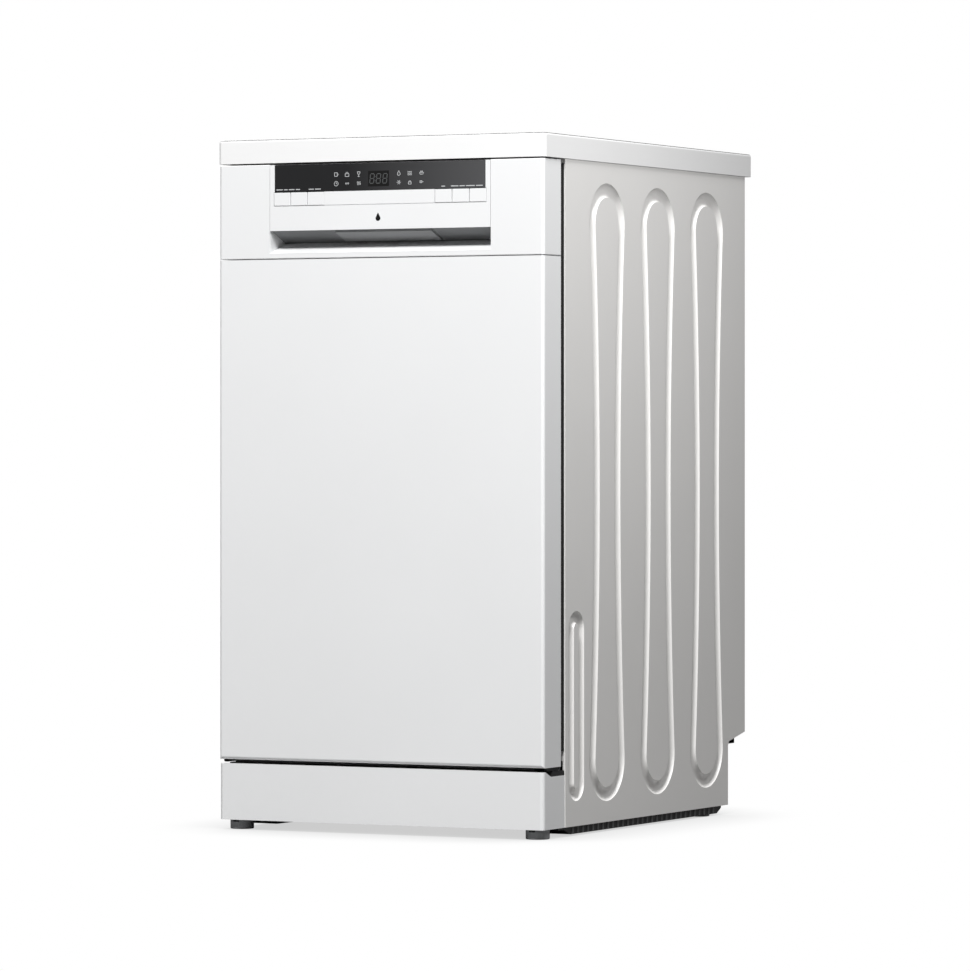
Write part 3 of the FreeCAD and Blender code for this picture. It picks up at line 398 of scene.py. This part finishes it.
def draw_ticks(work):
    """Short generic dashes above the buttons, where the words are left out."""
    top = WINDOW_LOW.z + TICK_RISE
    low = top - TICK_TALL
    for start, lengths in TICKS:
        left = start * MM
        for length in lengths:
            right = left + length * MM
            corners = [(left, top), (left, low), (right, low), (right, top)]
            slab(work, corners, FRONT - INK_PROUD, FRONT + SUNK)
            left += (length + TICK_GAP) * MM


DIGIT_PLATE = ((-15 * MM, 13.5 * MM), (ICON_ROWS[1] - 4.2 * MM, ICON_ROWS[0] + 3.6 * MM))
DIGIT_WIDE, DIGIT_TALL, DIGIT_PITCH = 5.4 * MM, 11.5 * MM, 8.8 * MM
DIGIT_LEAN = math.tan(math.radians(6))
SEGMENT_WIDE, SEGMENT_GAP = 1.15 * MM, 0.5 * MM
COLON_RISE, COLON_RADIUS = 2.4 * MM, 0.55 * MM


def draw_digit_plate(work):
    """The black glass behind the digits."""
    (left, right), (low, top) = DIGIT_PLATE
    corners = [(left, low), (right, low), (right, top), (left, top)]
    slab(work, corners, FRONT - GLASS_PROUD, FRONT + SUNK)


def draw_digits(work):
    """Three seven-segment digits, unlit, with their colon dots."""
    (left, right), (low, top) = DIGIT_PLATE
    middle, level = (left + right) / 2, (low + top) / 2
    wide, tall = DIGIT_WIDE / 2, DIGIT_TALL / 2
    runs = [((-wide + SEGMENT_GAP, z), (wide - SEGMENT_GAP, z)) for z in (-tall, 0, tall)]
    runs += [((x, z + SEGMENT_GAP), (x, z + tall - SEGMENT_GAP))
             for x in (-wide, wide) for z in (-tall, 0)]
    for number in (-1, 0, 1):
        centre = middle + number * DIGIT_PITCH
        for run in runs:
            points = [(centre + x + z * DIGIT_LEAN, level + z) for x, z in run]
            band(work, points, SEGMENT_WIDE, FRONT - SEGMENT_PROUD, FRONT)
    for rise in (-COLON_RISE, COLON_RISE):
        dot = circle((middle - DIGIT_PITCH / 2, level + rise), COLON_RADIUS, 12)
        slab(work, dot, FRONT - SEGMENT_PROUD, FRONT)


INSERT_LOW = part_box("fascia_insert")[0]
EMBLEM_PLACE = (-1.5 * MM, INSERT_LOW.z + 13.1 * MM)
EMBLEM_RADIUS, EMBLEM_TIP = 3.3 * MM, 7.0 * MM
EMBLEM_PROUD, EMBLEM_SUNK = 0.08 * MM, 0.3 * MM


def draw_emblem(work):
    """A plain water drop printed above the handle."""
    outline = arc_points(EMBLEM_PLACE, EMBLEM_RADIUS, -205, 25, 18)
    outline.append((EMBLEM_PLACE[0], EMBLEM_PLACE[1] + EMBLEM_TIP))
    slab(work, outline, INSERT_LOW.y - EMBLEM_PROUD, INSERT_LOW.y + EMBLEM_SUNK)


solid("window_pictograms", "door", FINISHES["pale_ink"], draw_pictograms)
solid("window_ticks", "door", FINISHES["pale_ink"], draw_ticks)
solid("digit_plate", "door", FINISHES["display_glass"], draw_digit_plate)
solid("digit_segments", "door", FINISHES["unlit_segments"], draw_digits)
solid("drop_emblem", "door", FINISHES["display_glass"], draw_emblem)

HEAD_SIDES = 36
HEAD_RADIUS, HEAD_RISE = 4.2 * MM, 1.6 * MM


def star_head(work, centre, face):
    """A pan head with a six-lobed recess, standing off a panel that faces +Y."""
    outer = circle(centre, HEAD_RADIUS, HEAD_SIDES)
    rim = circle(centre, HEAD_RADIUS * 0.82, HEAD_SIDES)
    lobes = []
    for step in range(HEAD_SIDES):
        angle = 2 * math.pi * step / HEAD_SIDES
        reach = HEAD_RADIUS * (0.42 + 0.09 * math.cos(6 * angle))
        lobes.append((centre[0] + reach * math.cos(angle), centre[1] + reach * math.sin(angle)))
    levels = ((outer, 0), (outer, 0.55), (rim, 1), (lobes, 1), (lobes, 0.25))
    skin(work, [[(x, face + share * HEAD_RISE, z) for x, z in outline] for outline, share in levels])


LINER_LOW, LINER_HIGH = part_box("door_inner_panel")
SCREW_INSET = 17 * MM
SCREW_SHARES = (0.06, 0.3, 0.56, 0.8, 0.97)


def draw_liner_screws(work):
    """Screws down both edges of the door's inner panel."""
    for side in (-1, 1):
        for share in SCREW_SHARES:
            level = LINER_LOW.z + share * (LINER_HIGH.z - LINER_LOW.z)
            star_head(work, (side * (LINER_HIGH.x - SCREW_INSET), level), LINER_HIGH.y)


solid("liner_screws", "door", FINISHES["zinc_screws"], draw_liner_screws)

SPRING_RADIUS, SPRING_WIRE = 4.5 * MM, 0.8 * MM
SPRING_TURNS, TURN_STEPS = 13, 16
HOOK_LENGTH = 6 * MM


def draw_springs(work):
    """Coiled extension springs with a hook at each end."""
    low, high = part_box("door_springs")
    radius = SPRING_RADIUS - SPRING_WIRE
    centre_back = (low.y + high.y) / 2
    steps = SPRING_TURNS * TURN_STEPS
    for side in (-1, 1):
        centre_side = side * (high.x - SPRING_RADIUS)
        points = []
        for step in range(steps + 1):
            angle = 2 * math.pi * step / TURN_STEPS
            rise = HOOK_LENGTH + step / steps * (high.z - low.z - 2 * HOOK_LENGTH)
            points.append((centre_side + radius * math.cos(angle), centre_back + radius * math.sin(angle),
                           low.z + rise))
        hooks = []
        for end, way in ((points[0], -1), (points[-1], 1)):
            hooks.append([(end[0] - radius, end[1], end[2] + way * reach)
                          for reach in (HOOK_LENGTH / 2, HOOK_LENGTH - SPRING_WIRE)])
        tube(work, hooks[0][::-1] + points + hooks[1], SPRING_WIRE, 8)


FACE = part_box("door_outer_panel")[0].y
DOOR_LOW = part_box("door_outer_panel")[0].z
SIDE_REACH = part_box("side_panel_right")[1].x
HINGE_INNER, HINGE_OUTER = 205 * MM, 218 * MM
GAP_SHADE_END = SIDE_REACH - 1 * MM
GAP_SHADE_SPANS = ((-GAP_SHADE_END, -HINGE_OUTER), (-HINGE_INNER, HINGE_INNER), (HINGE_OUTER, GAP_SHADE_END))
# Depth behind the door's face and height, in millimetres, round each strip.
DOOR_GAP_SHADE = ((10.5, 0), (10.5, -2.6), (12, -3.7), (14, -4), (40, -4), (43, -3.4), (44, -2), (44, 0))
PLINTH_GAP_SHADE = ((24, 0), (24, 4.6), (25.5, 5.9), (28, 6.2), (54, 6.2), (56.5, 5.6), (57.5, 4), (57.5, 0))
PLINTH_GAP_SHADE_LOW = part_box("plinth")[1].z - 6 * MM


def draw_gap_painted_shade(work, profile, level):
    """A black strip across the front, with gaps where the hinges pass: painted shade for the gap between
    door and plinth.
    """
    outline = [(FACE + depth * MM, level + rise * MM) for depth, rise in profile]
    for left, right in GAP_SHADE_SPANS:
        profile_bar(work, outline, left, right)


def draw_door_gap_shade(work):
    """The black strip under the door, in the gap above the plinth: painted shade of that gap."""
    draw_gap_painted_shade(work, DOOR_GAP_SHADE, DOOR_LOW)


def draw_plinth_gap_painted_shade(work):
    """The black strip behind the plinth's sloping top: painted shade of the gap above it."""
    draw_gap_painted_shade(work, PLINTH_GAP_SHADE, PLINTH_GAP_SHADE_LOW)


# Painted shade: black strips put in the gap between door and plinth, where there is only shade.
solid("door_gap_painted_shade", "door", FINISHES["black_rubber"], draw_door_gap_shade)
solid("plinth_gap_painted_shade", "cabinet", FINISHES["black_rubber"], draw_plinth_gap_painted_shade)

BOARD_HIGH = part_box("worktop_board")[1]
BOARD_CORNER, BOARD_ROUND = 5 * MM, 3 * MM
EDGE_SHADE_HALF = 0.06 * MM
EDGE_SHADE_TURNS = (42, 52, 62, 72, 82, 88)
CORNER_STEPS = 8


def draw_edge_painted_shade(work):
    """A thin dark line round the worktop where its edge turns into its top: painted shade of the edge's
    outline.
    """
    perimeter = []
    for quarter, (side, back) in enumerate(((1, 1), (-1, 1), (-1, -1), (1, -1))):
        centre = (side * (BOARD_HIGH.x - BOARD_CORNER), back * (BOARD_HIGH.y - BOARD_CORNER))
        for step in range(CORNER_STEPS + 1):
            angle = math.radians(90 * quarter + 90 * step / CORNER_STEPS)
            perimeter.append((centre, Vector((math.cos(angle), math.sin(angle), 0))))
    section = [(BOARD_ROUND + EDGE_SHADE_HALF, turn) for turn in EDGE_SHADE_TURNS]
    section += [(BOARD_ROUND - EDGE_SHADE_HALF, turn) for turn in reversed(EDGE_SHADE_TURNS)]
    loops = []
    for centre, outward in perimeter:
        start = Vector((*centre, BOARD_HIGH.z - BOARD_ROUND)) + outward * (BOARD_CORNER - BOARD_ROUND)
        loops.append([start + outward * reach * math.cos(math.radians(turn))
                      + Vector((0, 0, reach * math.sin(math.radians(turn)))) for reach, turn in section])
    skin(work, loops, endless=True)


RIB_COUNT, RIB_START, RIB_PITCH = 30, 84, 14
RIB_FOOT_HALF, RIB_TIP_HALF = 1.6 * MM, 0.9 * MM
RIB_INSET, RIB_OUT = 3.6 * MM, 1.5 * MM
RIB_LOW, RIB_HIGH = 3.2 * MM, 11.6 * MM


def draw_skid_ribs(work):
    """Upright ribs along both edges of the black base."""
    for side in (-1, 1):
        near = side * (SIDE_REACH - RIB_INSET)
        tip = near + side * RIB_OUT
        for step in range(RIB_COUNT):
            middle = FACE + (RIB_START + RIB_PITCH * step) * MM
            rib = [(near, middle - RIB_FOOT_HALF), (tip, middle - RIB_TIP_HALF),
                   (tip, middle + RIB_TIP_HALF), (near, middle + RIB_FOOT_HALF)]
            skin(work, [[(x, y, z) for x, y in rib] for z in (RIB_LOW, RIB_HIGH)])


# Painted shade: a dark line along the worktop's rounded top edge, standing in for the shade of its
# outline.
solid("worktop_edge_painted_shade", "cabinet", FINISHES["edge_painted_shade"], draw_edge_painted_shade)
solid("skid_ribs", "cabinet", FINISHES["dark_grey_plastic"], draw_skid_ribs)

# Radius and distance along the pipe for one turn of thread and for one barb, in millimetres.
THREAD = ((12.9, -0.8), (13.9, 0), (12.9, 0.8))
THREAD_START, THREAD_PITCH, THREAD_TURNS = -11, 2.4, 4
BARB = ((9.4, -1.2), (10.6, -1.0), (9.4, 3))
BARB_START, BARB_PITCH, BARB_COUNT = -22, 7, 3


def draw_rings(work, node, profile, start, pitch, count):
    """The same turned ring several times along a pipe end that faces backwards."""
    low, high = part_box(node)
    middle = ((low.x + high.x) / 2, (low.z + high.z) / 2)
    for number in range(count):
        rings = [(radius * MM, (start + pitch * number + out) * MM) for radius, out in profile]
        turned(work, middle, high.y, rings)


def draw_inlet_thread(work):
    """The thread turns round the water inlet."""
    draw_rings(work, "inlet_valve", THREAD, THREAD_START, THREAD_PITCH, THREAD_TURNS)


def draw_spigot_barbs(work):
    """The barbs that hold the drain hose."""
    draw_rings(work, "drain_spigot", BARB, BARB_START, BARB_PITCH, BARB_COUNT)


PLATE_PLACE = (-110 * MM, 772 * MM)
PLATE_HALF, PLATE_CORNER = (34 * MM, 10 * MM), 2 * MM
PLATE_SUNK, PLATE_PROUD = 0.1 * MM, 0.25 * MM


def draw_blank_plate(work):
    """A blank label on the rear panel, its lettering left out."""
    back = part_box("rear_panel")[1].y
    corners = []
    for quarter, (side, up) in enumerate(((1, 1), (-1, 1), (-1, -1), (1, -1))):
        centre = (PLATE_PLACE[0] + side * PLATE_HALF[0], PLATE_PLACE[1] + up * PLATE_HALF[1])
        corners += arc_points(centre, PLATE_CORNER, 90 * quarter, 90 * quarter + 90, 5)
    slab(work, corners, back - PLATE_SUNK, back + PLATE_PROUD)


solid("inlet_thread", "cabinet", FINISHES["white_plastic"], draw_inlet_thread)
solid("spigot_barbs", "cabinet", FINISHES["grey_plastic"], draw_spigot_barbs)
solid("blank_plate", "cabinet", FINISHES["white_plastic"], draw_blank_plate)

springs = solid("door_spring_coils", "cabinet", FINISHES["zinc_screws"], draw_springs)
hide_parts("door_springs")


# ------------------------------------------------------------------ stage, light and camera

FLOOR_SIZE = 60
FLOOR_BOUNCE = (0.15, 0.15, 0.15, 1)
FLOOR_SHADE, FLOOR_WHITE = (0.6, 0.6, 0.6), (1, 1, 1)
SHADE_REACH = 0.16


def pale_floor():
    """White to the camera, with a painted contact shadow that darkens it near the machine, and dim for
    the light it bounces.
    """
    material, tree, shader = new_material("pale_floor")
    shader.inputs["Base Color"].default_value = FLOOR_BOUNCE
    shader.inputs["Roughness"].default_value = 0.9
    # Ambient occlusion paints a contact shadow into the camera's white near the machine.
    nearness = tree.nodes.new("ShaderNodeAmbientOcclusion")
    nearness.inputs["Distance"].default_value = SHADE_REACH
    nearness.samples = 16
    glow = tree.nodes.new("ShaderNodeEmission")
    shade = ramp(tree, nearness.outputs["AO"], FLOOR_SHADE, FLOOR_WHITE, 0.0, 0.9)
    tree.links.new(shade, glow.inputs["Color"])
    path = tree.nodes.new("ShaderNodeLightPath")
    mix = tree.nodes.new("ShaderNodeMixShader")
    tree.links.new(path.outputs["Is Camera Ray"], mix.inputs["Fac"])
    tree.links.new(shader.outputs["BSDF"], mix.inputs[1])
    tree.links.new(glow.outputs["Emission"], mix.inputs[2])
    tree.links.new(mix.outputs["Shader"], tree.nodes["Material Output"].inputs["Surface"])
    return material


bpy.ops.mesh.primitive_plane_add(size=FLOOR_SIZE)
floor = bpy.context.object
floor.name = "studio_floor"
paint(floor, pale_floor())

# Name, place, point aimed at, side of the square in metres, power in watts.
SOFTBOXES = (
    ("key_front", (1.0, -2.95, 3.9), (0, -0.1, 0.45), 1.1, 268),
    ("front_low", (0.4, -3.2, 0.7), (0, -0.3, 0.6), 1.0, 6),
    ("side_right", (0.95, -0.3, 1.15), (0.22, -0.1, 0.45), 0.3, 4.7),
    ("back_left", (-2.2, 2.6, 2.2), (0, 0.1, 0.45), 1.8, 90),
)
for name, place, aim, size, power in SOFTBOXES:
    data = bpy.data.lights.new(name, "AREA")
    data.size = size
    data.energy = power
    light = bpy.data.objects.new(name, data)
    bpy.context.collection.objects.link(light)
    light.location = place
    light.rotation_euler = (Vector(aim) - Vector(place)).to_track_quat("-Z", "Y").to_euler()

# Strength of the surroundings for bounced light, for reflections and for the camera.
WORLD_FILL, WORLD_SHINE, WORLD_SEEN = 0.03, 0.3, 1.0
world = bpy.data.worlds.new("studio")
bpy.context.scene.world = world
world.use_nodes = True
nodes, links = world.node_tree.nodes, world.node_tree.links
background = nodes["Background"]
background.inputs["Color"].default_value = (1, 1, 1, 1)
path = nodes.new("ShaderNodeLightPath")
strength = nodes.new("ShaderNodeMix")
strength.inputs["A"].default_value = WORLD_FILL
strength.inputs["B"].default_value = WORLD_SHINE
links.new(path.outputs["Is Glossy Ray"], strength.inputs["Factor"])
seen = nodes.new("ShaderNodeMix")
seen.inputs["B"].default_value = WORLD_SEEN
links.new(path.outputs["Is Camera Ray"], seen.inputs["Factor"])
links.new(strength.outputs["Result"], seen.inputs["A"])
links.new(seen.outputs["Result"], background.inputs["Strength"])

CAMERA_PLACE = (3.174, -6.247, 0.479)
CAMERA_YAW = math.radians(27.0)
CAMERA_LENS, CAMERA_SENSOR, CAMERA_SHIFT = 206.5, 36, -0.048
camera_data = bpy.data.cameras.new("camera")
camera_data.sensor_width = CAMERA_SENSOR
camera_data.lens = CAMERA_LENS
camera_data.shift_y = CAMERA_SHIFT
camera = bpy.data.objects.new("camera", camera_data)
bpy.context.collection.objects.link(camera)
camera.location = CAMERA_PLACE
camera.rotation_euler = (math.pi / 2, 0, CAMERA_YAW)
bpy.context.scene.camera = camera
bpy.context.scene.view_settings.view_transform = "Standard"
